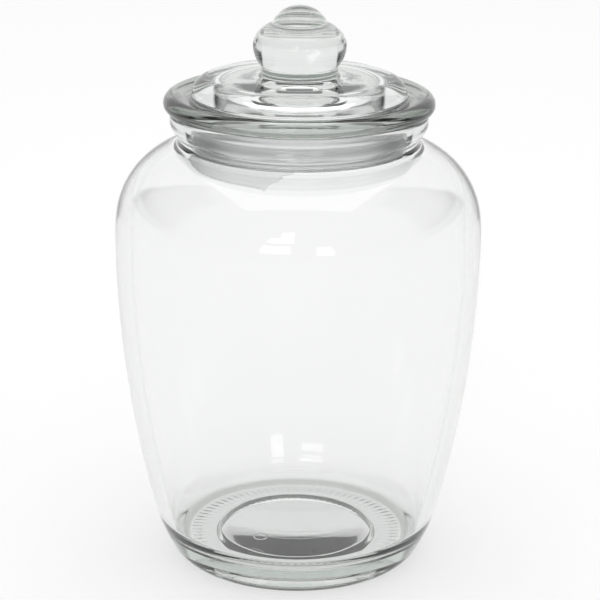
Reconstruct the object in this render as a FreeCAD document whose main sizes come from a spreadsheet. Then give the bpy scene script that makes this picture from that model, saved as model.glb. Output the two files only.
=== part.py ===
# A glass candy jar: the jar, its pressed glass lid and the plastic seal on the lid's plug.
# Millimetres, +Z up, origin at the centre of the base on the surface it stands on.
import FreeCAD, Part
import math
import os
import Sketcher

# Driving sizes. Radii are from the jar's axis and heights are from the surface it stands on,
# unless the name says otherwise.
SIZES = {
    # overall
    "belly_radius": 89.4,
    "mouth_height": 228.2,
    "bore_radius": 52.3,
    # jar, outside: distances in from the belly, up from the base or down from the mouth
    "belly_drop": 62.0,
    "heel_top_inset": 17.2,
    "heel_top_height": 28.6,
    "heel_low_inset": 26.4,
    "heel_low_height": 6.0,
    "heel_edge_inset": 29.4,
    "heel_edge_height": 2.3,
    "shoulder_start_inset": 0.7,
    "shoulder_start_drop": 50.6,
    "neck_wall": 6.0,
    "neck_drop": 13.65,
    "neck_round": 4.14,
    "bead_depth": 4.1,
    "bead_low_drop": 11.8,
    "bead_wide_drop": 4.8,
    "mouth_round": 2.4,
    # jar, inside
    "wall": 7.5,
    "heel_wall": 8.2,
    "heel_turn_height": 24.5,
    "throat_drop": 16.68,
    "throat_round": 6.33,
    "floor_height": 14.5,
    "floor_rise": 2.0,
    # underside of the jar
    "knurl_count": 84,
    "knurl_depth": 0.4,
    "knurl_length": 3.2,
    "knurl_width": 1.0,
    "knurl_root": 0.8,
    "knurl_inset": 36.4,
    "recess_inset": 51.0,
    "recess_height": 9.0,
    "recess_sag": 2.2,
    "recess_slope": 1.3,
    # lid, above the seat
    "rim_overhang": 3.1,
    "rim_drop": 3.4,
    "rim_rise": 5.0,
    "dish_inset": 13.5,
    "dish_depth": 2.0,
    "disc_wall": 0.9,
    "disc_round": 8.6,
    "disc_crown": 1.1,
    "knob_neck_radius": 18.4,
    "knob_neck_round": 2.4,
    "knob_radius": 22.45,
    "knob_middle": 14.3,
    "knob_low_round": 14.5,
    "knob_side_round": 8.5,
    "knob_side_turn": 35.0,
    "knob_top_round": 16.0,
    "tip_base_radius": 13.1,
    "tip_round": 14.4,
    # lid, below the seat
    "plug_wall": 5.0,
    "plug_length": 17.8,
    "plate": 7.8,
    "hollow_round": 6.0,
    # seal
    "seal_wall": 3.1,
    "seal_grip": 0.15,
    "seal_clearance": 0.2,
    "seal_top_gap": 2.2,
    "seal_floor": 1.8,
    "seal_return": 3.5,
    "rib_height": 1.9,
    "rib_width": 2.2,
    "rib_pitch": 6.4,
    "fin_wall": 0.7,
    "fin_drop": 8.0,
    "fin_angle": 75.0,
}
RIBS = 3

doc = FreeCAD.newDocument("CandyJar")
sheet = doc.addObject("Spreadsheet::Sheet", "Sizes")
for row, (name, value) in enumerate(SIZES.items(), start=1):
    sheet.set("A%d" % row, name)
    sheet.set("B%d" % row, str(value))
    sheet.setAlias("B%d" % row, name)
doc.recompute()


def size(name):
    """A driving size, read back from the sheet."""
    return float(getattr(sheet, name))


def value(quantity):
    """The number behind a sheet expression; a plain number stands for itself."""
    return float(sheet.evalExpression(quantity)) if isinstance(quantity, str) else quantity


class Outline:
    """A closed chain of lines and arcs in a sketch on a body's XZ plane.

    Points are (radius, height). A coordinate given as an expression is tied to the sheet; one
    given as a number only says where to start, and tangency settles it. Each element starts
    where the last one ended.
    """

    def __init__(self, body, name, start, heading=None):
        self.sketch = body.newObject("Sketcher::SketchObject", name)
        self.sketch.AttachmentSupport = (origin_plane(body, "XZ_Plane"), [""])
        self.sketch.MapMode = "FlatFace"
        self.start = start
        self.here = place(start)
        self.heading = heading
        self.first = None
        self.last = None

    def tie(self, constraint, expression):
        """Adds a constraint whose value comes from the sheet."""
        index = self.sketch.addConstraint(constraint)
        name = "tie_%d" % index
        self.sketch.renameConstraint(index, name)
        self.sketch.setExpression("Constraints." + name, expression)

    def pin(self, end, point):
        """Ties the coordinates of an end that are given as expressions."""
        here = place(point)
        if isinstance(point[0], str):
            self.tie(Sketcher.Constraint("DistanceX", -1, 1, *end, here[0]), point[0])
        if isinstance(point[1], str):
            self.tie(Sketcher.Constraint("DistanceY", -1, 1, *end, here[1]), point[1])

    def on_axis(self, end):
        self.sketch.addConstraint(Sketcher.Constraint("PointOnObject", *end, -2))

    def level(self, end, other):
        """Keeps two points at the same height."""
        self.sketch.addConstraint(Sketcher.Constraint("Horizontal", *end, *other))

    def curve_radius(self, index, expression):
        curve = self.sketch.Geometry[index]
        self.tie(Sketcher.Constraint("Radius", index, curve.Radius), expression)

    def join(self, index, start_end, smooth, point):
        """Hooks a new element to the chain and pins its far end."""
        if self.last:
            kind = "Tangent" if smooth else "Coincident"
            self.sketch.addConstraint(Sketcher.Constraint(kind, *self.last, index, start_end))
        else:
            self.first = (index, start_end)
            self.pin(self.first, self.start)
        self.last = (index, 3 - start_end)
        self.here = place(point)
        self.pin(self.last, point)
        return index

    def line(self, point, along=None, smooth=False):
        start = self.here
        end = place(point)
        index = self.sketch.addGeometry(Part.LineSegment(flat(start), flat(end)))
        if along:
            self.sketch.addConstraint(Sketcher.Constraint(along, index))
        self.heading = unit(end[0] - start[0], end[1] - start[1])
        return self.join(index, 1, smooth, point)

    def arc(self, point, smooth=True, heading=None):
        """An arc that leaves along the heading and ends at the point."""
        start = self.here
        end = place(point)
        middle, ahead = tangent_arc(start, heading or self.heading, end)
        index = self.sketch.addGeometry(Part.Arc(flat(start), flat(middle), flat(end)))
        first = self.sketch.getPoint(index, 1)
        start_end = 1 if math.dist((first.x, first.y), start) < 1e-6 else 2
        self.heading = ahead
        return self.join(index, start_end, smooth, point)

    def curve_in(self, corner, belly, start):
        """Leaves an upright run by a round of the given radius and meets the shoulder's start."""
        round_arc = self.arc(shoulder_end(belly, start, self.here, value(corner)))
        self.curve_radius(round_arc, corner)
        self.arc(start)

    def close(self):
        """Joins the last end to the start, with a line if they are apart."""
        if math.dist(self.here, place(self.start)) > 1e-6:
            self.line(place(self.start))
        self.sketch.addConstraint(Sketcher.Constraint("Coincident", *self.last, *self.first))
        return self.sketch


def place(point):
    """A point's two coordinates as numbers."""
    return (value(point[0]), value(point[1]))


def origin_plane(body, role):
    return [item for item in body.Origin.OriginFeatures if item.Role == role][0]


def flat(point):
    return FreeCAD.Vector(point[0], point[1], 0)


def unit(across, up):
    length = math.hypot(across, up)
    return (across / length, up / length)


def tangent_arc(start, heading, end):
    """Midpoint and final heading of the arc that leaves start along heading and meets end."""
    chord = (end[0] - start[0], end[1] - start[1])
    turn = math.atan2(heading[0] * chord[1] - heading[1] * chord[0],
                      heading[0] * chord[0] + heading[1] * chord[1])
    half = math.hypot(*chord) / 2
    bulge = -half * math.tan(turn / 2)
    side = unit(-chord[1], chord[0])
    middle = (start[0] + chord[0] / 2 + side[0] * bulge, start[1] + chord[1] / 2 + side[1] * bulge)
    ahead = (heading[0] * math.cos(2 * turn) - heading[1] * math.sin(2 * turn),
             heading[0] * math.sin(2 * turn) + heading[1] * math.cos(2 * turn))
    return middle, ahead


def spin(body, kind, name, sketch, angle="360"):
    """Turns a sketch about the body's Z axis, to add glass or to groove it away."""
    feature = body.newObject("PartDesign::" + kind, name)
    feature.Profile = sketch
    feature.ReferenceAxis = (sketch, ["V_Axis"])
    feature.setExpression("Angle", angle)
    return feature


def new_body(label):
    body = doc.addObject("PartDesign::Body", "Body_" + label)
    body.Label = label
    return body


DOWN = (0.0, -1.0)
UP = (0.0, 1.0)
OUT = (1.0, 0.0)


def round_to_level(outline, level):
    """Radius at which an arc that leaves the outline's falling end settles level."""
    curve = (outline.here[1] - value(level)) / (1 + outline.heading[0])
    return outline.here[0] + curve * outline.heading[1]


def shoulder_end(belly, start, foot, corner):
    """Where the shoulder's arc meets the round, of radius corner, that stands upright on foot."""
    rising = tangent_arc(place(belly), UP, place(start))[1]
    centre = (foot[0] + corner, foot[1])
    apart = (value(start[0]) - centre[0], value(start[1]) - centre[1])
    inward = apart[1] * rising[0] - apart[0] * rising[1]
    radius = (corner ** 2 - apart[0] ** 2 - apart[1] ** 2) / (2 * (inward - corner))
    share = corner / (corner + radius)
    return (centre[0] + (apart[0] - radius * rising[1]) * share,
            centre[1] + (apart[1] + radius * rising[0]) * share)


# Stations of the jar's outside and inside.
MOUTH = "Sizes.mouth_height"
BORE = "Sizes.bore_radius"
BELLY = ("Sizes.belly_radius", "(Sizes.mouth_height - Sizes.belly_drop)")
HEEL_TOP = ("(Sizes.belly_radius - Sizes.heel_top_inset)", "Sizes.heel_top_height")
HEEL_LOW = ("(Sizes.belly_radius - Sizes.heel_low_inset)", "Sizes.heel_low_height")
HEEL_EDGE = ("(Sizes.belly_radius - Sizes.heel_edge_inset)", "Sizes.heel_edge_height")
SHOULDER_START = ("(Sizes.belly_radius - Sizes.shoulder_start_inset)",
                  "(Sizes.mouth_height - Sizes.shoulder_start_drop)")
NECK = "(Sizes.bore_radius + Sizes.neck_wall)"
BEAD = "(%s + Sizes.bead_depth)" % NECK
INNER_BELLY = (BELLY[0] + " - Sizes.wall", BELLY[1])
HEEL_TURN = (HEEL_TOP[0] + " - Sizes.heel_wall", "Sizes.heel_turn_height")
INNER_START = (SHOULDER_START[0] + " - Sizes.wall", SHOULDER_START[1])
KNURL = "(Sizes.belly_radius - Sizes.knurl_inset)"
RECESS = "(Sizes.belly_radius - Sizes.recess_inset)"

# The plug carries the seal, and the seal's ribs meet the bore.
RIB = "(Sizes.bore_radius - Sizes.seal_clearance)"
SEAL_OUTER = "(%s - Sizes.rib_height)" % RIB
SEAL_INNER = "(%s - Sizes.seal_wall)" % SEAL_OUTER
SEAL_LIP = "(%s - Sizes.seal_return)" % SEAL_INNER
PLUG = "(%s - Sizes.seal_grip)" % SEAL_INNER
PLUG_END = "(Sizes.mouth_height - Sizes.plug_length)"
SEAL_TOP = "(Sizes.mouth_height - Sizes.seal_top_gap)"
SEAL_FLOOR = "(%s - Sizes.seal_grip)" % PLUG_END
SEAL_BOTTOM = "(%s - Sizes.seal_floor)" % SEAL_FLOOR

# The lid's rim overhangs the bead; its raised disc stands inside the rim and carries the knob.
RIM = "(%s + Sizes.rim_overhang)" % BEAD
RIM_MIDDLE = "(Sizes.mouth_height + Sizes.rim_drop)"
RIM_TOP = "(%s + Sizes.rim_rise)" % RIM_MIDDLE
DISH = ("(%s - Sizes.dish_inset)" % RIM, "(%s - Sizes.dish_depth)" % RIM_TOP)
DISC_EDGE = ("(%s - Sizes.disc_round)" % DISH[0],
             "(%s + Sizes.disc_wall + Sizes.disc_round)" % DISH[1])
DISC_TOP = "(%s + Sizes.disc_crown)" % DISC_EDGE[1]
KNOB_MIDDLE = "(%s + Sizes.knob_middle)" % DISC_TOP
CEILING = "(%s - Sizes.plate)" % DISC_EDGE[1]
HOLLOW = "(%s - Sizes.plug_wall)" % PLUG


def make_jar():
    body = new_body("jar")
    foot = "Sizes.knurl_depth"

    outline = Outline(body, "OutsideOutline", BELLY, DOWN)
    flank = outline.arc(HEEL_TOP)
    outline.level((flank, 3), outline.first)
    outline.arc(HEEL_LOW)
    outline.arc(HEEL_EDGE)
    outline.arc((round_to_level(outline, foot), foot))
    outline.line((0, value(foot)), "Horizontal", smooth=True)
    outline.on_axis(outline.last)
    outline.line((0, MOUTH), "Vertical")
    outline.line((BEAD + " - Sizes.mouth_round", value(MOUTH)), "Horizontal")
    outline.arc((value(BEAD), MOUTH + " - Sizes.mouth_round"))
    outline.line((BEAD, MOUTH + " - Sizes.bead_wide_drop"), smooth=True)
    outline.arc((NECK, MOUTH + " - Sizes.bead_low_drop"))
    outline.line((value(NECK), MOUTH + " - Sizes.neck_drop"), "Vertical")
    outline.curve_in("Sizes.neck_round", BELLY, SHOULDER_START)
    upper_belly = outline.arc(place(BELLY))
    outline.level((upper_belly, 3), outline.last)
    spin(body, "Revolution", "Outside", outline.close())

    add_knurls(body)

    outline = Outline(body, "RecessOutline", (0, value(foot)))
    outline.line((RECESS + " + Sizes.recess_slope", foot), "Horizontal")
    outline.line((RECESS, "Sizes.recess_height"))
    sag = 2 * math.atan(size("recess_sag") / value(RECESS))
    ceiling = outline.arc((0, "Sizes.recess_height - Sizes.recess_sag"), smooth=False,
                          heading=(-math.cos(sag), -math.sin(sag)))
    outline.on_axis(outline.last)
    outline.on_axis((ceiling, 3))
    sketch = outline.close()
    outline.on_axis(outline.last)
    spin(body, "Groove", "Recess", sketch)

    outline = Outline(body, "InsideOutline", INNER_BELLY, DOWN)
    flank = outline.arc(HEEL_TURN)
    outline.level((flank, 3), outline.first)
    floor_edge = round_to_level(outline, "Sizes.floor_height")
    corner = outline.arc((floor_edge, "Sizes.floor_height"))
    outline.sketch.addConstraint(Sketcher.Constraint("Vertical", corner, 3, *outline.last))
    climb = 2 * math.atan(size("floor_rise") / floor_edge)
    crown = outline.arc((0, "Sizes.floor_height + Sizes.floor_rise"), smooth=False,
                        heading=(-math.cos(climb), math.sin(climb)))
    outline.on_axis(outline.last)
    outline.on_axis((crown, 3))
    outline.line((0, MOUTH), "Vertical")
    outline.line((BORE, value(MOUTH)), "Horizontal")
    outline.line((value(BORE), MOUTH + " - Sizes.throat_drop"), "Vertical")
    outline.curve_in("Sizes.throat_round", INNER_BELLY, INNER_START)
    upper_belly = outline.arc(place(INNER_BELLY))
    outline.level((upper_belly, 3), outline.last)
    spin(body, "Groove", "Inside", outline.close())


def add_knurls(body):
    """A ring of short radial bars under the base."""
    sketch = body.newObject("Sketcher::SketchObject", "KnurlOutline")
    sketch.AttachmentSupport = (origin_plane(body, "XY_Plane"), [""])
    sketch.MapMode = "FlatFace"
    near = value(KNURL + " - Sizes.knurl_length / 2")
    far = near + size("knurl_length")
    side = size("knurl_width") / 2
    corners = [(near, -side), (far, -side), (far, side), (near, side)]
    for start, end in zip(corners, corners[1:] + corners[:1]):
        sketch.addGeometry(Part.LineSegment(flat(start), flat(end)))
    for edge in range(4):
        sketch.addConstraint(Sketcher.Constraint("Coincident", edge, 2, (edge + 1) % 4, 1))
    for edge, along in ((0, "Horizontal"), (2, "Horizontal"), (3, "Vertical")):
        sketch.addConstraint(Sketcher.Constraint(along, edge))
    sketch.addConstraint(Sketcher.Constraint("Symmetric", 1, 1, 1, 2, -1))
    for name, constraint, expression in (
            ("near", Sketcher.Constraint("DistanceX", -1, 1, 0, 1, near),
             KNURL + " - Sizes.knurl_length / 2"),
            ("length", Sketcher.Constraint("DistanceX", 0, 1, 0, 2, far - near),
             "Sizes.knurl_length"),
            ("width", Sketcher.Constraint("DistanceY", 1, 1, 1, 2, 2 * side),
             "Sizes.knurl_width")):
        sketch.renameConstraint(sketch.addConstraint(constraint), name)
        sketch.setExpression("Constraints." + name, expression)
    bar = body.newObject("PartDesign::Pad", "KnurlBar")
    bar.Profile = sketch
    bar.setExpression("Length", "Sizes.knurl_depth + Sizes.knurl_root")
    doc.recompute()
    ring = body.newObject("PartDesign::PolarPattern", "KnurlRing")
    ring.Originals = [bar]
    ring.Axis = (sketch, ["N_Axis"])
    ring.Angle = 360
    ring.setExpression("Occurrences", "Sizes.knurl_count")
    body.Tip = ring


def make_lid():
    body = new_body("lid")
    outline = Outline(body, "LidOutline", (PLUG, value(MOUTH)), OUT)
    outline.line((RIM + " - Sizes.rim_drop", MOUTH), "Horizontal")
    outline.arc((RIM, RIM_MIDDLE))
    outline.arc((RIM + " - Sizes.rim_rise", RIM_TOP))
    outline.line(DISH)
    outline.line((value(DISH[0]), DISH[1] + " + Sizes.disc_wall"), "Vertical")
    outline.arc(DISC_EDGE)

    # the crowned disc, and the fillet from it to the knob's neck
    edge = value(DISC_EDGE[0])
    crown = size("disc_crown")
    crown_radius = (edge ** 2 + crown ** 2) / (2 * crown)
    fillet_radius = size("knob_neck_round")
    neck = size("knob_neck_radius")
    reach = neck + fillet_radius
    lift = math.sqrt((crown_radius + fillet_radius) ** 2 - reach ** 2)
    share = crown_radius / (crown_radius + fillet_radius)
    crown_centre = value(DISC_TOP) - crown_radius
    slope = math.asin(edge / crown_radius)
    disc = outline.arc((reach * share, crown_centre + lift * share), smooth=False,
                       heading=(-math.cos(slope), math.sin(slope)))
    outline.on_axis((disc, 3))
    outline.curve_radius(disc, "(pow(%s; 2) + pow(Sizes.disc_crown; 2)) / (2 * Sizes.disc_crown)"
                         % DISC_EDGE[0])
    fillet = outline.arc((neck, crown_centre + lift))
    outline.curve_radius(fillet, "Sizes.knob_neck_round")

    # the knob: a flaring underside, a round side and a smaller tip
    middle = value(KNOB_MIDDLE)
    low_round = size("knob_low_round")
    across = neck - (size("knob_radius") - low_round)
    drop = math.sqrt(low_round ** 2 - across ** 2)
    outline.line(("Sizes.knob_neck_radius", middle - drop), "Vertical", smooth=True)
    low = outline.arc(("Sizes.knob_radius", KNOB_MIDDLE), smooth=False,
                      heading=(drop / low_round, across / low_round))
    outline.curve_radius(low, "Sizes.knob_low_round")
    outline.level((low, 3), outline.last)
    outline.arc(("Sizes.knob_radius - Sizes.knob_side_round * (1 - cos(Sizes.knob_side_turn))",
                 KNOB_MIDDLE + " + Sizes.knob_side_round * sin(Sizes.knob_side_turn)"))
    turn = math.radians(size("knob_side_turn"))
    top_round = size("knob_top_round")
    top_centre = (outline.here[0] - top_round * math.cos(turn),
                  outline.here[1] - top_round * math.sin(turn))
    tip_base = size("tip_base_radius")
    tip_foot = top_centre[1] + math.sqrt(top_round ** 2 - (tip_base - top_centre[0]) ** 2)
    top = outline.arc(("Sizes.tip_base_radius", tip_foot))
    outline.curve_radius(top, "Sizes.knob_top_round")
    tip_round = size("tip_round")
    sink = math.sqrt(tip_round ** 2 - tip_base ** 2)
    cap = outline.arc((0, tip_foot - sink + tip_round), smooth=False,
                      heading=(-sink / tip_round, tip_base / tip_round))
    outline.curve_radius(cap, "Sizes.tip_round")
    outline.on_axis((cap, 3))
    outline.on_axis(outline.last)

    # the hollow under the disc, and the plug round it
    outline.line((0, CEILING), "Vertical")
    outline.line((HOLLOW + " - Sizes.hollow_round", value(CEILING)), "Horizontal")
    outline.arc((value(HOLLOW), value(CEILING + " - Sizes.hollow_round")))
    plug_turn = PLUG_END + " + Sizes.plug_wall / 2"
    outline.line((HOLLOW, value(plug_turn)), "Vertical", smooth=True)
    outline.arc((value(PLUG), plug_turn))
    outline.line(place((PLUG, MOUTH)), "Vertical", smooth=True)
    spin(body, "Revolution", "Lid", outline.close())


def make_seal():
    body = new_body("seal")
    outline = Outline(body, "SleeveOutline", (value(SEAL_OUTER), SEAL_BOTTOM))
    outline.line((SEAL_OUTER, SEAL_TOP), "Vertical")
    outline.line((SEAL_INNER, value(SEAL_TOP)), "Horizontal")
    outline.line((value(SEAL_INNER), SEAL_FLOOR), "Vertical")
    outline.line((SEAL_LIP, value(SEAL_FLOOR)), "Horizontal")
    outline.line((value(SEAL_LIP), SEAL_BOTTOM), "Vertical")
    spin(body, "Revolution", "Sleeve", outline.close())

    root = SEAL_OUTER + " - Sizes.seal_wall / 2"
    tip = RIB + " - Sizes.rib_width / 2"
    rib_top = SEAL_BOTTOM + " + Sizes.rib_width"
    outline = Outline(body, "RibOutline", (root, value(SEAL_BOTTOM)))
    outline.line((tip, SEAL_BOTTOM), "Horizontal")
    outline.arc((tip, rib_top))
    outline.line((root, value(rib_top)), "Horizontal")
    sketch = outline.close()
    rib_ring = spin(body, "Revolution", "Rib", sketch)
    doc.recompute()
    ribs = body.newObject("PartDesign::LinearPattern", "Ribs")
    ribs.Originals = [rib_ring]
    ribs.Direction = (sketch, ["V_Axis"])
    ribs.setExpression("Length", "Sizes.rib_pitch * %d" % (RIBS - 1))
    ribs.Occurrences = RIBS
    body.Tip = ribs

    # A loose fin of flash hangs from the lowest rib along part of its length.
    fin_outer = "-(%s - Sizes.fin_wall / 2)" % RIB
    fin_inner = fin_outer + " + Sizes.fin_wall"
    fin_low = SEAL_BOTTOM + " - Sizes.fin_drop"
    outline = Outline(body, "FinOutline", (value(fin_outer), fin_low))
    outline.line((fin_outer, SEAL_BOTTOM + " + Sizes.rib_width / 2"), "Vertical")
    outline.line((fin_inner, outline.here[1]), "Horizontal")
    outline.line((outline.here[0], fin_low), "Vertical")
    spin(body, "Revolution", "Fin", outline.close(), "Sizes.fin_angle")


make_jar()
make_lid()
make_seal()
doc.recompute()

for item in doc.Objects:
    if "Invalid" in item.State or "Error" in item.State:
        raise RuntimeError("%s did not recompute: %s" % (item.Label, item.State))
    if item.isDerivedFrom("Sketcher::SketchObject") and not item.FullyConstrained:
        raise RuntimeError("%s has loose sizes" % item.Label)

os.makedirs("parts", exist_ok=True)
for body in [item for item in doc.Objects if item.TypeId == "PartDesign::Body"]:
    shape = body.Shape
    if shape.isNull() or not shape.isValid() or len(shape.Solids) != 1:
        raise RuntimeError("%s is not one sound solid" % body.Label)
    for feature in body.Group:
        if feature.TypeId != "PartDesign::Groove":
            continue
        if feature.BaseFeature.Shape.Volume <= feature.Shape.Volume:
            raise RuntimeError("%s takes nothing away" % feature.Label)
    shape.exportStep("parts/%s.step" % body.Label)
    print("%s: %.1f cm3" % (body.Label, shape.Volume / 1000))
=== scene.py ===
"""A clear glass candy jar with a pressed glass knob lid and a milky plastic seal, in a white studio."""
import math

import bmesh
import bpy
from mathutils import Matrix, Vector


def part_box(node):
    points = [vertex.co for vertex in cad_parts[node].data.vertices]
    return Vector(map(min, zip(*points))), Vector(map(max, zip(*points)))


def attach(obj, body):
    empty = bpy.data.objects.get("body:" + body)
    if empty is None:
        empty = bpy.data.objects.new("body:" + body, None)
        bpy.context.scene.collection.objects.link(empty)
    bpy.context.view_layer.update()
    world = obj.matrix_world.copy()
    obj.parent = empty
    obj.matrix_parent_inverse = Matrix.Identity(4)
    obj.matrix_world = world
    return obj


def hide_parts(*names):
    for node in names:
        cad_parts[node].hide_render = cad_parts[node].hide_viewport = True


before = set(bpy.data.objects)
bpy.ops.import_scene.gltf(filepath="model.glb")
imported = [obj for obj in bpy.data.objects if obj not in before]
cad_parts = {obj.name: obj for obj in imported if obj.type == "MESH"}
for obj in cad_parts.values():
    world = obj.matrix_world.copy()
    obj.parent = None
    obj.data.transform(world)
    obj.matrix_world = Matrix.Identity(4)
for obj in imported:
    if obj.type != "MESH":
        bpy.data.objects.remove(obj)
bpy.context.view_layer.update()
scene = bpy.context.scene

# The CAD jar is 228.2 mm tall without its lid; every length below is in those millimetres.
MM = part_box("jar")[1].z / 228.2
SEGMENTS = 420
BODY_STEP = 6.0
KNURLS = 84
GLASS_TINT = (0.58, 0.63, 0.595, 1)
GLASS_IOR, PLASTIC_IOR, JAR_DENSITY, LID_DENSITY = 1.52, 1.3, 13.0, 12.0
# radii where the painted shade on the jar's heel and the lid's rim begins, the mould ring's centre, and the
# painted shade colours
HEEL_SHADE_RING, RIM_SHADE_START, MOULD_RING = 58.0, 52.4, (-17.2, -16.0)
RIM_PAINTED_SHADE, HEEL_PAINTED_SHADE = (0.40, 0.43, 0.40, 1), (0.45, 0.48, 0.45, 1)


# ---------------------------------------------------------------- profiles
HEEL_LOW, FLOOR, FLOOR_RISE, HEEL_TURN = (60.0, 2.3), 14.5, 2.0, (64.0, 24.5)
RECESS, RECESS_HEIGHT, RECESS_SAG, RECESS_SLOPE = 38.4, 9.0, 2.2, 1.3


class Profile:
    """A chain of (radius, height) points in millimetres, with smooth arcs between stations."""

    def __init__(self, start, heading=(0, -1)):
        self.points = [start]
        self.heading = heading

    @property
    def here(self):
        return self.points[-1]

    def line(self, end, longest=4.0):
        start = self.here
        steps = max(1, math.ceil(math.dist(start, end) / longest))
        for i in range(1, steps + 1):
            self.points.append(tuple(a + (b - a) * i / steps for a, b in zip(start, end)))
        length = math.dist(start, end)
        self.heading = ((end[0] - start[0]) / length, (end[1] - start[1]) / length)
        return self

    def arc(self, end, heading=None, longest=4.0, turn_step=5.0):
        """An arc that leaves along the heading and ends at the point."""
        start = self.here
        hx, hy = heading or self.heading
        cx, cy = end[0] - start[0], end[1] - start[1]
        turn = math.atan2(hx * cy - hy * cx, hx * cx + hy * cy)
        chord = math.hypot(cx, cy)
        if abs(turn) < 1e-5:
            return self.line(end, longest)
        radius = chord / (2 * math.sin(turn))
        centre = (start[0] - hy * radius, start[1] + hx * radius)
        steps = max(2, math.ceil(abs(2 * turn * radius) / longest),
                    math.ceil(math.degrees(abs(2 * turn)) / turn_step))
        sx, sy = start[0] - centre[0], start[1] - centre[1]
        for i in range(1, steps):
            c, s = math.cos(2 * turn * i / steps), math.sin(2 * turn * i / steps)
            self.points.append((centre[0] + sx * c - sy * s, centre[1] + sx * s + sy * c))
        self.points.append(end)
        c, s = math.cos(2 * turn), math.sin(2 * turn)
        self.heading = (hx * c - hy * s, hx * s + hy * c)
        return self


def rounded(points, radii, turn_step=12.0, longest=4.0):
    """A chain of straight runs whose corners are rounded."""
    out = Profile(points[0])
    for i in range(1, len(points) - 1):
        a, b, c = points[i - 1], points[i], points[i + 1]
        back = [(p - q) / math.dist(a, b) for p, q in zip(a, b)]
        ahead = [(p - q) / math.dist(b, c) for p, q in zip(c, b)]
        half = math.acos(max(-1, min(1, back[0] * ahead[0] + back[1] * ahead[1]))) / 2
        cut = radii[i - 1] / math.tan(half)
        if cut < 1e-6:
            out.line(b, longest)
            continue
        out.line((b[0] + back[0] * cut, b[1] + back[1] * cut), longest)
        out.arc((b[0] + ahead[0] * cut, b[1] + ahead[1] * cut), turn_step=turn_step)
    out.line(points[-1], longest)
    return out.points


def level_end(point, heading, level):
    """Where an arc that leaves point along a falling heading settles level."""
    curve = (point[1] - level) / (1 + heading[0])
    return (point[0] + curve * heading[1], level)


def upright_end(point, heading, upright):
    """Where an arc that leaves point along an inward heading turns upright."""
    curve = (point[0] - upright) / (1 - heading[1])
    return (upright, point[1] - curve * heading[0])


def jar_profile():
    """From the centre of the underside, out and up to the mouth, and down the inside."""
    foot = 0.4
    down = Profile((89.4, 166.2), (0, -1)).arc((72.2, 28.6), longest=BODY_STEP).arc((63.0, 6.0))
    down.arc(HEEL_LOW, turn_step=4)
    down.arc(level_end(down.here, down.heading, foot), turn_step=5)
    heel = down.points
    under = Profile((0, RECESS_HEIGHT - RECESS_SAG), (1, 0)).arc((RECESS - 0.6, RECESS_HEIGHT)).points
    under = under[:-1] + rounded([under[-1], (RECESS, RECESS_HEIGHT), (RECESS + RECESS_SLOPE, foot),
                                  heel[-1]], [0.4, 0.4])
    up = Profile((89.4, 166.2), (0, 1)).arc((88.7, 177.6)).arc((61.2, 210.6))
    up.arc(upright_end(up.here, up.heading, 58.3))
    neck = up.points + rounded([up.here, (58.3, 216.0), (58.3, 216.4)], [0.2])[1:]
    bead = Profile((62.4, 225.8), (0, -1)).line((62.4, 223.4)).arc((58.3, 216.4), turn_step=6)
    lip = Profile((60.0, 228.2), (1, 0)).arc((62.4, 225.8), turn_step=8)
    inner = Profile((81.9, 166.2), (0, 1)).arc((81.2, 177.6)).arc((57.0, 205.4))
    inner.arc(upright_end(inner.here, inner.heading, 52.3))
    mouth = rounded([inner.here, (52.3, 228.2), (60.0, 228.2)], [0.8])
    inside = Profile((81.9, 166.2), (0, -1)).arc(HEEL_TURN, longest=BODY_STEP)
    inside.arc(level_end(inside.here, inside.heading, FLOOR), turn_step=4)
    edge = inside.here
    climb = 2 * math.atan(FLOOR_RISE / edge[0])
    inside.arc((0, FLOOR + FLOOR_RISE), heading=(-math.cos(climb), math.sin(climb)), longest=BODY_STEP)
    chain = under[:-1] + heel[::-1] + neck[1:-1] + bead.points[::-1] + lip.points[::-1][1:]
    return chain + mouth[::-1][1:] + inner.points[::-1][1:] + inside.points[1:]


def lid_profile():
    """From the middle of the hollow's ceiling, round the plug and the rim, and over the knob."""
    seat, plug, plug_end = 228.2, 46.95, 210.4
    ceiling, hollow = 236.3, 41.95
    chain = Profile((0, ceiling), (1, 0)).line((hollow - 6, ceiling)).arc((hollow, ceiling - 6))
    chain.line((hollow, plug_end + 2.5)).arc((plug, plug_end + 2.5), turn_step=10)
    under = rounded([chain.here, (plug, seat), (62.1, seat)], [0.8])
    chain.points += under[1:]
    chain.heading = (1, 0)
    chain.arc((65.5, 231.6), turn_step=6).arc((60.5, 236.6), turn_step=6)
    top = rounded([chain.here, (52.0, 234.6), (52.0, 235.5)], [0.8])
    chain.points += top[1:]
    chain.heading = (0, 1)
    chain.arc((43.4, 244.1), turn_step=5)
    crown_radius = (43.4 ** 2 + 1.1 ** 2) / 2.2
    reach = 18.4 + 2.4
    lift = math.sqrt((crown_radius + 2.4) ** 2 - reach ** 2)
    share = crown_radius / (crown_radius + 2.4)
    base = 245.2 - crown_radius
    slope = math.asin(43.4 / crown_radius)
    chain.arc((reach * share, base + lift * share), heading=(-math.cos(slope), math.sin(slope)))
    chain.arc((18.4, base + lift), turn_step=8)
    middle = 245.2 + 14.3
    across = 18.4 - (22.45 - 14.5)
    drop = math.sqrt(14.5 ** 2 - across ** 2)
    crease = (18.4, middle - drop)
    chain.line(crease, 1.5)
    chain.arc((22.45, middle), heading=(drop / 14.5, across / 14.5), turn_step=3)
    turn = math.radians(35)
    side = (22.45 - 8.5 * (1 - math.cos(turn)), middle + 8.5 * math.sin(turn))
    chain.arc(side, turn_step=3)
    centre = (side[0] - 16 * math.cos(turn), side[1] - 16 * math.sin(turn))
    tip_foot = (13.1, centre[1] + math.sqrt(16 ** 2 - (13.1 - centre[0]) ** 2))
    chain.arc(tip_foot, turn_step=3)
    sink = math.sqrt(14.4 ** 2 - 13.1 ** 2)
    chain.arc((0, tip_foot[1] - sink + 14.4), heading=(-sink / 14.4, 13.1 / 14.4), turn_step=3)
    return chain.points


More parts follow.
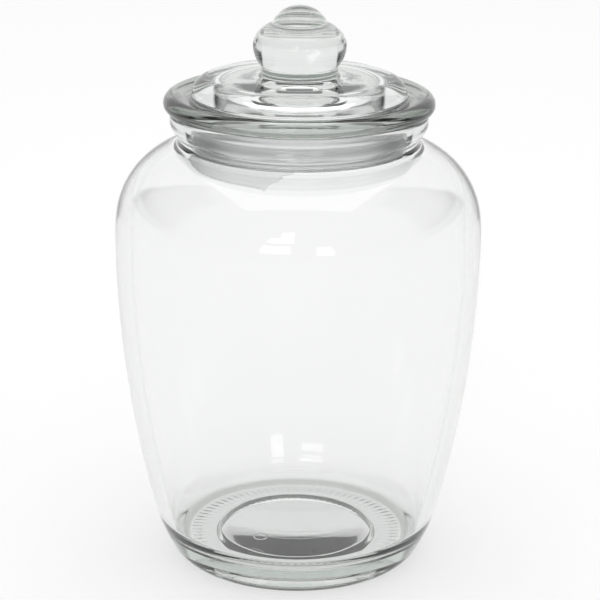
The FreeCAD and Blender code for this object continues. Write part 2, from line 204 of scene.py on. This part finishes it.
def seal_profile():
    """A closed loop round the sleeve with its three ribs."""
    outer, inner, lip, reach = 50.2, 47.1, 43.6, 52.1
    top, floor, bottom = 226.0, 210.25, 208.45
    loop = rounded([(lip + 1, bottom), (reach - 1.1, bottom)], [])
    for i in range(3):
        low = bottom + 6.4 * i
        if i:
            loop += Profile((outer, low - 0.4)).arc((outer + 0.4, low), turn_step=20, heading=(0, 1)).points
        loop += Profile((reach - 1.1, low), (1, 0)).arc((reach - 1.1, low + 2.2), turn_step=18).points
        loop += Profile((outer + 0.4, low + 2.2), (-1, 0)).arc((outer, low + 2.6), turn_step=20).points
    loop += rounded([(outer, bottom + 16), (outer, top), (inner, top), (inner, floor), (lip, floor),
                     (lip, bottom), (lip + 1, bottom)], [0.6, 0.6, 0.4, 0.6, 0.6])
    return loop


# ---------------------------------------------------------------- geometry nodes
def tree(name, sockets):
    """An empty geometry node tree with named inputs."""
    group = bpy.data.node_groups.new(name, "GeometryNodeTree")
    group.interface.new_socket("Geometry", in_out="INPUT", socket_type="NodeSocketGeometry")
    for label, kind, value in sockets:
        socket = group.interface.new_socket(label, in_out="INPUT", socket_type=kind)
        if value is not None:
            socket.default_value = value
    group.interface.new_socket("Geometry", in_out="OUTPUT", socket_type="NodeSocketGeometry")
    return group


class Wiring:
    """Short ways to add and join nodes."""

    def __init__(self, group):
        self.group = group
        self.source = group.nodes.new("NodeGroupInput")
        self.sink = group.nodes.new("NodeGroupOutput")

    def add(self, kind, inputs=None, **settings):
        node = self.group.nodes.new(kind)
        for key, value in settings.items():
            setattr(node, key, value)
        for key, value in (inputs or {}).items():
            self.feed(node.inputs[key], value)
        return node

    def feed(self, socket, value):
        if isinstance(value, bpy.types.NodeSocket):
            self.group.links.new(value, socket)
        else:
            socket.default_value = value

    def math(self, operation, a, b=0.0, c=0.0):
        node = self.add("ShaderNodeMath", {0: a, 1: b, 2: c}, operation=operation)
        return node.outputs[0]


def lathe_tree():
    """Turns a profile, given as a row of points in the XZ plane, into a surface about Z."""
    group = tree("Lathe", [("Segments", "NodeSocketInt", SEGMENTS), ("Points", "NodeSocketInt", 2),
                           ("Ripple", "NodeSocketFloat", 0.0), ("Ripple Scale", "NodeSocketFloat", 20.0),
                           ("Seed", "NodeSocketFloat", 0.0), ("Knurls", "NodeSocketFloat", 0.0),
                           ("Knurl Depth", "NodeSocketFloat", 0.0), ("Knurl Radius", "NodeSocketFloat", 1.0),
                           ("Knurl Reach", "NodeSocketFloat", 0.001),
                           ("Material", "NodeSocketMaterial", None)])
    w = Wiring(group)
    put = w.source.outputs
    count = w.math("ADD", put["Segments"], 1.0)
    grid = w.add("GeometryNodeMeshGrid", {"Vertices X": count, "Vertices Y": put["Points"]})
    index = w.add("GeometryNodeInputIndex").outputs[0]
    row = w.math("MODULO", index, put["Points"])
    column = w.math("FLOOR", w.math("DIVIDE", index, put["Points"]))
    sample = w.add("GeometryNodeSampleIndex", {"Geometry": put["Geometry"], "Index": row},
                   data_type="FLOAT_VECTOR")
    w.feed(sample.inputs["Value"], w.add("GeometryNodeInputPosition").outputs[0])
    parts = w.add("ShaderNodeSeparateXYZ", {0: sample.outputs["Value"]})
    turn = w.math("MULTIPLY", w.math("DIVIDE", w.math("MODULO", column, put["Segments"]),
                                     put["Segments"]), math.tau)
    radius, height = parts.outputs[0], parts.outputs[2]
    # knurls: short bars that stand out of the underside
    wave = w.math("COSINE", w.math("MULTIPLY", turn, put["Knurls"]))
    bar = w.math("MULTIPLY", w.math("ADD", wave, -0.25), 2.2)
    bar = w.add("ShaderNodeClamp", {0: bar}).outputs[0]
    off = w.math("ABSOLUTE", w.math("SUBTRACT", radius, put["Knurl Radius"]))
    near = w.math("SUBTRACT", 1.6, w.math("DIVIDE", off, put["Knurl Reach"]))
    near = w.add("ShaderNodeClamp", {0: w.math("MULTIPLY", near, 2.0)}).outputs[0]
    low = w.math("LESS_THAN", height, w.math("MULTIPLY", put["Knurl Depth"], 1.2))
    dip = w.math("MULTIPLY", w.math("MULTIPLY", bar, near), w.math("MULTIPLY", low, put["Knurl Depth"]))
    place = w.add("ShaderNodeCombineXYZ", {0: w.math("MULTIPLY", radius, w.math("COSINE", turn)),
                                           1: w.math("MULTIPLY", radius, w.math("SINE", turn)),
                                           2: w.math("SUBTRACT", height, dip)})
    moved = w.add("GeometryNodeSetPosition", {"Geometry": grid.outputs["Mesh"],
                                              "Position": place.outputs[0]})
    merged = w.add("GeometryNodeMergeByDistance", {"Geometry": moved.outputs[0], "Distance": 2e-6})
    noise = w.add("ShaderNodeTexNoise", {"Scale": put["Ripple Scale"], "Detail": 1.0, "W": put["Seed"]},
                  noise_dimensions="4D")
    w.feed(noise.inputs["Vector"], w.add("GeometryNodeInputPosition").outputs[0])
    swing = w.math("MULTIPLY", w.math("SUBTRACT", noise.outputs[0], 0.5), put["Ripple"])
    push = w.add("ShaderNodeVectorMath", {"Scale": swing}, operation="SCALE")
    w.feed(push.inputs[0], w.add("GeometryNodeInputNormal").outputs[0])
    rippled = w.add("GeometryNodeSetPosition", {"Geometry": merged.outputs[0], "Offset": push.outputs[0]})
    smooth = w.add("GeometryNodeSetShadeSmooth", {"Geometry": rippled.outputs[0]})
    real = w.add("GeometryNodeRealizeInstances", {"Geometry": smooth.outputs[0]})
    done = w.add("GeometryNodeSetMaterial", {"Geometry": real.outputs[0], "Material": put["Material"]})
    group.links.new(done.outputs[0], w.sink.inputs[0])
    return group


def bake(name, mesh, group, values):
    """Runs a node tree on a mesh once and keeps the plain result."""
    holder = bpy.data.objects.new(name + "_source", mesh)
    scene.collection.objects.link(holder)
    modifier = holder.modifiers.new("Nodes", "NODES")
    modifier.node_group = group
    for item in group.interface.items_tree:
        if item.item_type == "SOCKET" and item.in_out == "INPUT" and item.name in values:
            modifier[item.identifier] = values[item.name]
    holder.update_tag()
    bpy.context.view_layer.update()
    depsgraph = bpy.context.evaluated_depsgraph_get()
    result = bpy.data.meshes.new_from_object(holder.evaluated_get(depsgraph), depsgraph=depsgraph)
    result.name = name
    bpy.data.objects.remove(holder)
    piece = bpy.data.objects.new(name, result)
    scene.collection.objects.link(piece)
    tidy = bmesh.new()
    tidy.from_mesh(result)
    bmesh.ops.recalc_face_normals(tidy, faces=tidy.faces)
    tidy.to_mesh(result)
    tidy.free()
    return piece


def lathe(name, points, material, ripple=0.0, scale=20.0, seed=0.0, knurled=False):
    mesh = bpy.data.meshes.new(name + "_profile")
    mesh.from_pydata([(r * MM, 0, z * MM) for r, z in points],
                     [(i, i + 1) for i in range(len(points) - 1)], [])
    values = {"Segments": SEGMENTS, "Points": len(points), "Ripple": ripple * MM, "Ripple Scale": scale,
              "Seed": seed, "Knurls": float(KNURLS), "Knurl Depth": 0.4 * MM if knurled else 0.0,
              "Knurl Radius": 53.0 * MM, "Knurl Reach": 1.6 * MM, "Material": material}
    return bake(name, mesh, LATHE, values)


def flash(name, made):
    """A thin ragged fin of plastic that hangs from the seal's lowest rib at the front left."""
    inner, outer, top = 51.0, 52.0, 209.6
    hang = [(178, 2.0), (186, 5.0), (196, 7.0), (208, 7.6), (220, 7.8), (234, 7.9), (244, 8.0), (250, 8.6),
            (252.5, 9.2), (254, 7.6), (256.5, 6.0), (262, 4.0), (268, 0.6)]
    rows = []
    for i in range(181):
        turn = 178 + 0.5 * i
        low = next(((a, b) for a, b in zip(hang, hang[1:]) if turn <= b[0]), (hang[-2], hang[-1]))
        share = (turn - low[0][0]) / (low[1][0] - low[0][0])
        drop = low[0][1] + (low[1][1] - low[0][1]) * share + 0.12 * math.sin(turn * 1.7)
        bottom = 208.45 - max(0.2, drop)
        c, s = math.cos(math.radians(turn)) * MM, math.sin(math.radians(turn)) * MM
        rows += [(inner * c, inner * s, top * MM), (outer * c, outer * s, top * MM),
                 (outer * c, outer * s, bottom * MM), (inner * c, inner * s, bottom * MM)]
    faces = [(0, 1, 2, 3), tuple(len(rows) - 4 + k for k in (3, 2, 1, 0))]
    for i in range(0, len(rows) - 4, 4):
        faces += [(i + k, i + 4 + k, i + 4 + (k + 1) % 4, i + (k + 1) % 4) for k in range(4)]
    mesh = bpy.data.meshes.new(name)
    mesh.from_pydata(rows, [], faces)
    mesh.materials.append(made)
    tidy = bmesh.new()
    tidy.from_mesh(mesh)
    bmesh.ops.recalc_face_normals(tidy, faces=tidy.faces)
    tidy.to_mesh(mesh)
    tidy.free()
    piece = bpy.data.objects.new(name, mesh)
    scene.collection.objects.link(piece)
    return piece


# ---------------------------------------------------------------- materials
def shader(name):
    """A material with its output and a Principled surface ready to be wired."""
    made = bpy.data.materials.new(name)
    made.use_nodes = True
    group = made.node_tree
    group.nodes.clear()
    w = Wiring.__new__(Wiring)
    w.group = group
    out = w.add("ShaderNodeOutputMaterial")
    surface = w.add("ShaderNodeBsdfPrincipled")
    group.links.new(surface.outputs[0], out.inputs["Surface"])
    return made, w, surface, out


def smooth_step(w, value, low, high, start=0.0, end=1.0):
    """A smooth step of a value between two limits."""
    return w.add("ShaderNodeMapRange", {"Value": value, "From Min": low, "From Max": high,
                                        "To Min": start, "To Max": end},
                 interpolation_type="SMOOTHSTEP").outputs[0]


def far_from(w, spot, x=0.0, y=0.0):
    """Distance of a point from an upright line."""
    east = w.math("POWER", w.math("ABSOLUTE", w.math("SUBTRACT", spot.outputs[0], x)), 2.0)
    north = w.math("POWER", w.math("ABSOLUTE", w.math("SUBTRACT", spot.outputs[1], y)), 2.0)
    return w.math("SQRT", w.math("ADD", east, north))


def glass(name, density, grain, rim=None, heel=None, mark=None):
    """Clear glass: grey-green where it is thick, and very slightly uneven; painted shade darkens the lid's
    rim and the foot of the jar's heel when asked.
    """
    made, w, surface, out = shader(name)
    surface.inputs["Base Color"].default_value = (1, 1, 1, 1)
    surface.inputs["Roughness"].default_value = 0.0
    surface.inputs["IOR"].default_value = GLASS_IOR
    surface.inputs["Transmission Weight"].default_value = 1.0
    where = w.add("ShaderNodeTexCoord").outputs["Object"]
    noise = w.add("ShaderNodeTexNoise", {"Vector": where, "Scale": grain, "Detail": 2.0}).outputs[0]
    bump = w.add("ShaderNodeBump", {"Height": noise, "Strength": 0.02, "Distance": 0.001})
    if rim:
        # painted shade: the pressed rim's base colour is darkened, standing in for the dark edges the glass
        # shows there; its slight green is the glass's own tint
        spot = w.add("ShaderNodeSeparateXYZ", {0: where})
        shade_band = smooth_step(w, far_from(w, spot), rim * MM, (rim + 1.2) * MM)
        tone = w.add("ShaderNodeMix", {0: shade_band, 6: (1, 1, 1, 1), 7: RIM_PAINTED_SHADE}, data_type="RGBA")
        w.feed(surface.inputs["Base Color"], tone.outputs[2])
    if heel:
        # painted shade: the low foot of the heel is darkened in its base colour, standing in for the dark
        # contact shade seen through the glass there
        spot = w.add("ShaderNodeSeparateXYZ", {0: where})
        shade_band = w.math("MULTIPLY", smooth_step(w, far_from(w, spot), (heel - 2.0) * MM, heel * MM),
                      smooth_step(w, spot.outputs[2], 3.5 * MM, 9.0 * MM, 1.0, 0.0))
        tone = w.add("ShaderNodeMix", {0: shade_band, 6: (1, 1, 1, 1), 7: HEEL_PAINTED_SHADE}, data_type="RGBA")
        w.feed(surface.inputs["Base Color"], tone.outputs[2])
    if mark:
        # a plain mould ring on the underside
        spot = w.add("ShaderNodeSeparateXYZ", {0: where})
        off = w.math("ABSOLUTE", w.math("SUBTRACT", far_from(w, spot, mark[0] * MM, mark[1] * MM), 3.0 * MM))
        ring = smooth_step(w, off, 0.0, 0.6 * MM, 1.0, 0.0)
        ring = w.math("MULTIPLY", ring, w.math("LESS_THAN", spot.outputs[2], 12.0 * MM))
        bump = w.add("ShaderNodeBump", {"Height": ring, "Strength": 1.0, "Distance": 0.0005,
                                        "Normal": bump.outputs[0]})
    w.feed(surface.inputs["Normal"], bump.outputs[0])
    volume = w.add("ShaderNodeVolumeAbsorption", {"Color": GLASS_TINT, "Density": density})
    made.node_tree.links.new(volume.outputs[0], out.inputs["Volume"])
    return made


def plastic(name):
    """Milky soft plastic that lets some light through."""
    made, w, surface, out = shader(name)
    surface.inputs["Roughness"].default_value = 0.3
    surface.inputs["IOR"].default_value = PLASTIC_IOR
    surface.inputs["Transmission Weight"].default_value = 0.92
    where = w.add("ShaderNodeTexCoord").outputs["Object"]
    noise = w.add("ShaderNodeTexNoise", {"Vector": where, "Scale": 90.0, "Detail": 3.0})
    tone = w.add("ShaderNodeValToRGB", {"Fac": noise.outputs[0]})
    tone.color_ramp.elements[0].color = (0.95, 0.96, 0.97, 1)
    tone.color_ramp.elements[1].color = (1.0, 1.0, 1.0, 1)
    w.feed(surface.inputs["Base Color"], tone.outputs[0])
    return made


LATHE = lathe_tree()
# the jar's glass carries painted shade on the foot of its heel
jar_glass = glass("jar_glass", JAR_DENSITY, 60.0, heel=HEEL_SHADE_RING, mark=MOULD_RING)
# the lid's glass carries painted shade on its rim
lid_glass = glass("lid_glass", LID_DENSITY, 90.0, rim=RIM_SHADE_START)
seal_plastic = plastic("seal_plastic")

jar = lathe("candy_jar", jar_profile(), jar_glass, ripple=0.10, scale=18.0, seed=3.0, knurled=True)
lid = lathe("glass_lid", lid_profile(), lid_glass, ripple=0.05, scale=25.0, seed=7.0)
seal = lathe("seal_ring", seal_profile(), seal_plastic, ripple=0.05, scale=60.0, seed=11.0)
fin = flash("seal_flash", seal_plastic)
for piece, node, slot in ((jar, "jar", "jar_glass"), (lid, "lid", "lid_glass"),
                          (seal, "seal", "seal_plastic"), (fin, "seal", "seal_plastic")):
    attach(piece, "root")
    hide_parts(node)


# ---------------------------------------------------------------- studio
PAPER, PAPER_GLOW = (0.42, 0.42, 0.42, 1), 0.60
SWEEP_LOW, SWEEP_HIGH, GAP = 42.0, 50.0, 0.06
OVERHEAD, WALL_LOW, WALL_HIGH, FRONT = 0.75, 0.15, 0.40, 0.85
PANES = ((-178, -168, 29, 36), (-178, -160, 22, 27), (-176, -156, 8, 15), (157, 169, 6, 14))
PANE_LIGHT, PANE_EDGE = 3.5, 1.5
FLOOR_REACH = 6


def flat_piece(name, corners, made):
    mesh = bpy.data.meshes.new(name)
    mesh.from_pydata(corners, [], [tuple(range(i, i + 4)) for i in range(0, len(corners), 4)])
    mesh.materials.append(made)
    piece = bpy.data.objects.new(name, mesh)
    scene.collection.objects.link(piece)
    return piece


# One plain pale paper. Its glow reaches the camera, reflections and the light through the glass alike,
# so the glass shows the same paper as its surroundings, and the paper keeps the jar's own shadow.
floor_made, floor_w, floor_surface, _ = shader("floor_paper")
floor_surface.inputs["Base Color"].default_value = PAPER
floor_surface.inputs["Roughness"].default_value = 0.8
floor_surface.inputs["Specular IOR Level"].default_value = 0.0
rays = floor_w.add("ShaderNodeLightPath").outputs
seen = floor_w.math("MAXIMUM", rays["Is Camera Ray"],
                    floor_w.math("MAXIMUM", rays["Is Glossy Ray"], rays["Is Transmission Ray"]))
floor_surface.inputs["Emission Color"].default_value = (1, 1, 1, 1)
floor_w.feed(floor_surface.inputs["Emission Strength"], floor_w.math("MULTIPLY", seen, PAPER_GLOW))
corner_signs = ((-1, -1), (1, -1), (1, 1), (-1, 1))
flat_piece("floor", [(x * FLOOR_REACH, y * FLOOR_REACH, 0) for x, y in corner_signs], floor_made)

world = bpy.data.worlds.new("studio")
scene.world = world
world.use_nodes = True
world.node_tree.nodes.clear()
w = Wiring.__new__(Wiring)
w.group = world.node_tree
world_out = w.add("ShaderNodeOutputWorld")
heading = w.add("ShaderNodeSeparateXYZ", {0: w.add("ShaderNodeTexCoord").outputs["Generated"]})
east, north, up = heading.outputs
turn = w.math("MULTIPLY", w.math("ARCTAN2", east, north), 180 / math.pi)
aside = w.math("ABSOLUTE", turn)
lift = w.math("MULTIPLY", w.math("ARCSINE", up), 180 / math.pi)
# a bright sweep behind the jar, a dark gap over it, and a broad soft light overhead
reach = smooth_step(w, lift, 10.0, 30.0, SWEEP_LOW, SWEEP_HIGH)
sweep = smooth_step(w, w.math("SUBTRACT", aside, reach), 0.0, 6.0, 1.0, 0.0)
top = smooth_step(w, aside, 14.0, 34.0, 38.0, 56.0)
sweep = w.math("MULTIPLY", sweep, smooth_step(w, w.math("SUBTRACT", lift, top), 0.0, 2.5, 1.0, GAP))
overhead = smooth_step(w, lift, 49.0, 55.0, 0.0, OVERHEAD)
walls = w.math("MULTIPLY", smooth_step(w, lift, 8.0, 20.0, WALL_LOW, WALL_HIGH),
               smooth_step(w, aside, 45.0, 60.0))
front = smooth_step(w, aside, 75.0, 105.0, 0.0, FRONT)
room = w.math("MAXIMUM", w.math("MAXIMUM", sweep, overhead), w.math("MAXIMUM", walls, front))
# a pale backdrop all round at the height of the floor's far edge
room = w.math("MAXIMUM", room, smooth_step(w, lift, 3.0, 8.0, 0.9, 0.0))


def pane(left, right, low, high):
    """A bright window pane between two headings and two heights, in degrees."""
    inside = w.math("MULTIPLY", smooth_step(w, turn, left, left + PANE_EDGE),
                    smooth_step(w, turn, right - PANE_EDGE, right, 1.0, 0.0))
    return w.math("MULTIPLY", inside, w.math("MULTIPLY", smooth_step(w, lift, low, low + PANE_EDGE),
                                             smooth_step(w, lift, high - PANE_EDGE, high, 1.0, 0.0)))


panes = 0.0
for corners in PANES:
    panes = w.math("ADD", panes, pane(*corners))
room = w.math("MULTIPLY_ADD", panes, PANE_LIGHT, room)
around = w.add("ShaderNodeBackground", {"Color": (1.0, 1.0, 1.0, 1), "Strength": room})
world.node_tree.links.new(around.outputs[0], world_out.inputs["Surface"])


def lamp(name, place, aim, width, height, power):
    data = bpy.data.lights.new(name, "AREA")
    data.shape = "RECTANGLE"
    data.size, data.size_y, data.energy = width, height, power
    light = bpy.data.objects.new(name, data)
    light.location = place
    light.rotation_euler = (Vector(aim) - Vector(place)).to_track_quat("-Z", "Y").to_euler()
    scene.collection.objects.link(light)


lamp("top_light", (0, 0.2, 1.8), (0, 0, 0.1), 1.8, 1.8, 8)

CAMERA_PLACE, CAMERA_TILT, CAMERA_ROLL, CAMERA_SHIFT = (0, -1.017, 0.4616), 90 - 17.98, 0.5, 0.004
camera_data = bpy.data.cameras.new("camera")
camera_data.sensor_width = 36.0
camera_data.lens = 2160 / 600 * 36.0
camera_data.shift_x = CAMERA_SHIFT
camera = bpy.data.objects.new("camera", camera_data)
camera.location = CAMERA_PLACE
tilt = Matrix.Rotation(math.radians(CAMERA_TILT), 3, "X") @ Matrix.Rotation(math.radians(CAMERA_ROLL), 3, "Z")
camera.rotation_euler = tilt.to_euler()
scene.collection.objects.link(camera)
scene.camera = camera
scene.view_settings.view_transform = "Standard"
